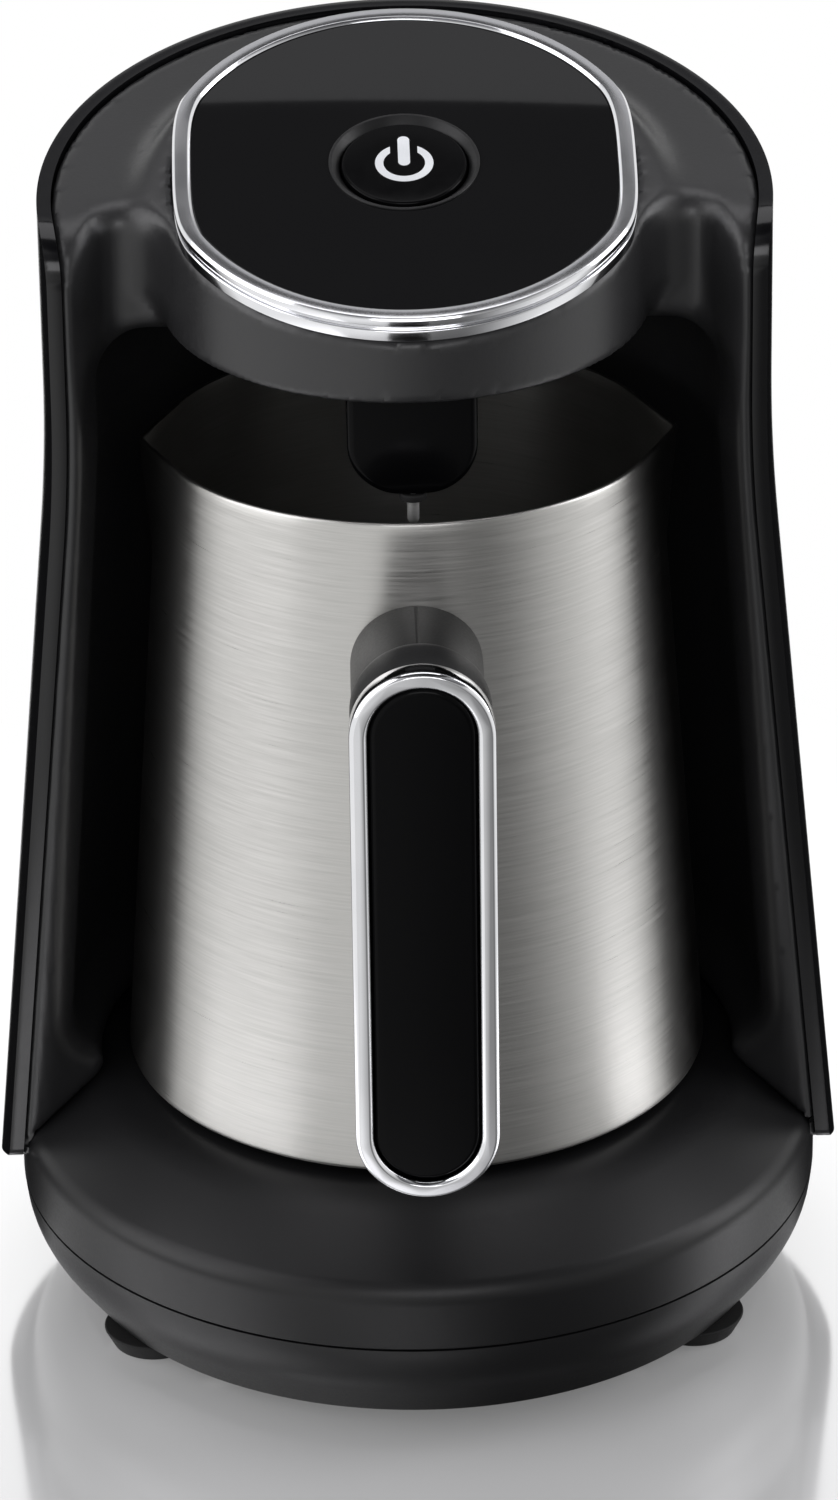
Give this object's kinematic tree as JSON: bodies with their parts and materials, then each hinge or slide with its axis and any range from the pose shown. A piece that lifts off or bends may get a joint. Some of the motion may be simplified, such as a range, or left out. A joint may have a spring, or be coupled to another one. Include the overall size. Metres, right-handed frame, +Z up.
{
  "type": "electric turkish coffee maker",
  "caption": "Countertop coffee maker: round heated base, tapered back shell, tilted power panel on a round head, and a lift-out steel pot with an upright handle.",
  "frame": {"origin": "on the surface it stands on, under the middle of its plan, handle and mains inlet included", "axes": "+Z up, -Y towards the front, where the handle and the button face, +X to the right seen from the front"},
  "size_m": [0.1488, 0.159, 0.2227],
  "materials": {
    "satin_black_plastic": "satin moulded ABS",
    "matte_black_plastic": "fine matt moulded ABS",
    "gloss_black_plastic": "polished moulded ABS",
    "bright_chrome": "bright chrome plate",
    "brushed_steel": "stainless steel, brushed round the pot",
    "plain_steel": "bare steel",
    "coated_aluminium": "dark coated aluminium",
    "black_rubber": "moulded rubber",
    "board_laminate": "circuit board laminate",
    "lit_white_plastic": "translucent white"
  },
  "bodies": {
    "housing": {"base_cover": "satin_black_plastic", "base_housing": "matte_black_plastic", "base_screws": "plain_steel", "bezel_ring": "satin_black_plastic", "board_screws": "plain_steel", "buzzer": "satin_black_plastic", "control_board": "board_laminate", "control_panel": "gloss_black_plastic", "cord_inlet": "black_rubber", "foot_front_left": "black_rubber", "foot_front_right": "black_rubber", "foot_rear_left": "black_rubber", "foot_rear_right": "black_rubber", "head_housing": "matte_black_plastic", "heater_bracket": "plain_steel", "heater_plate": "coated_aluminium", "heating_element": "plain_steel", "inner_fascia": "matte_black_plastic", "plate_seal": "black_rubber", "power_board": "board_laminate", "power_board_screws": "plain_steel", "rear_shell": "gloss_black_plastic", "sensor_collar": "black_rubber", "sensor_housing": "gloss_black_plastic", "sensor_pin": "plain_steel", "status_lamp": "lit_white_plastic", "tact_switch": "satin_black_plastic", "thermostat": "plain_steel", "trim_ring": "bright_chrome"},
    "button": {"power_button": "gloss_black_plastic", "power_icon": "lit_white_plastic"},
    "pot": {"handle_bracket": "plain_steel", "handle_frame": "bright_chrome", "handle_grip": "satin_black_plastic", "handle_insert": "gloss_black_plastic", "handle_mount": "satin_black_plastic", "handle_screw": "plain_steel", "pot_body": "brushed_steel"}
  },
  "joints": [
    {"name": "button_press", "type": "slide", "parent": "housing", "child": "button", "axis": [0, -0.284, 0.9588], "range_m": [-0.0012, 0], "stiffness_N_per_m": 350},
    {"name": "pot_removal", "type": "slide", "parent": "housing", "child": "pot", "axis": [0, -1, 0], "range_m": [0, 0.15]}
  ]
}
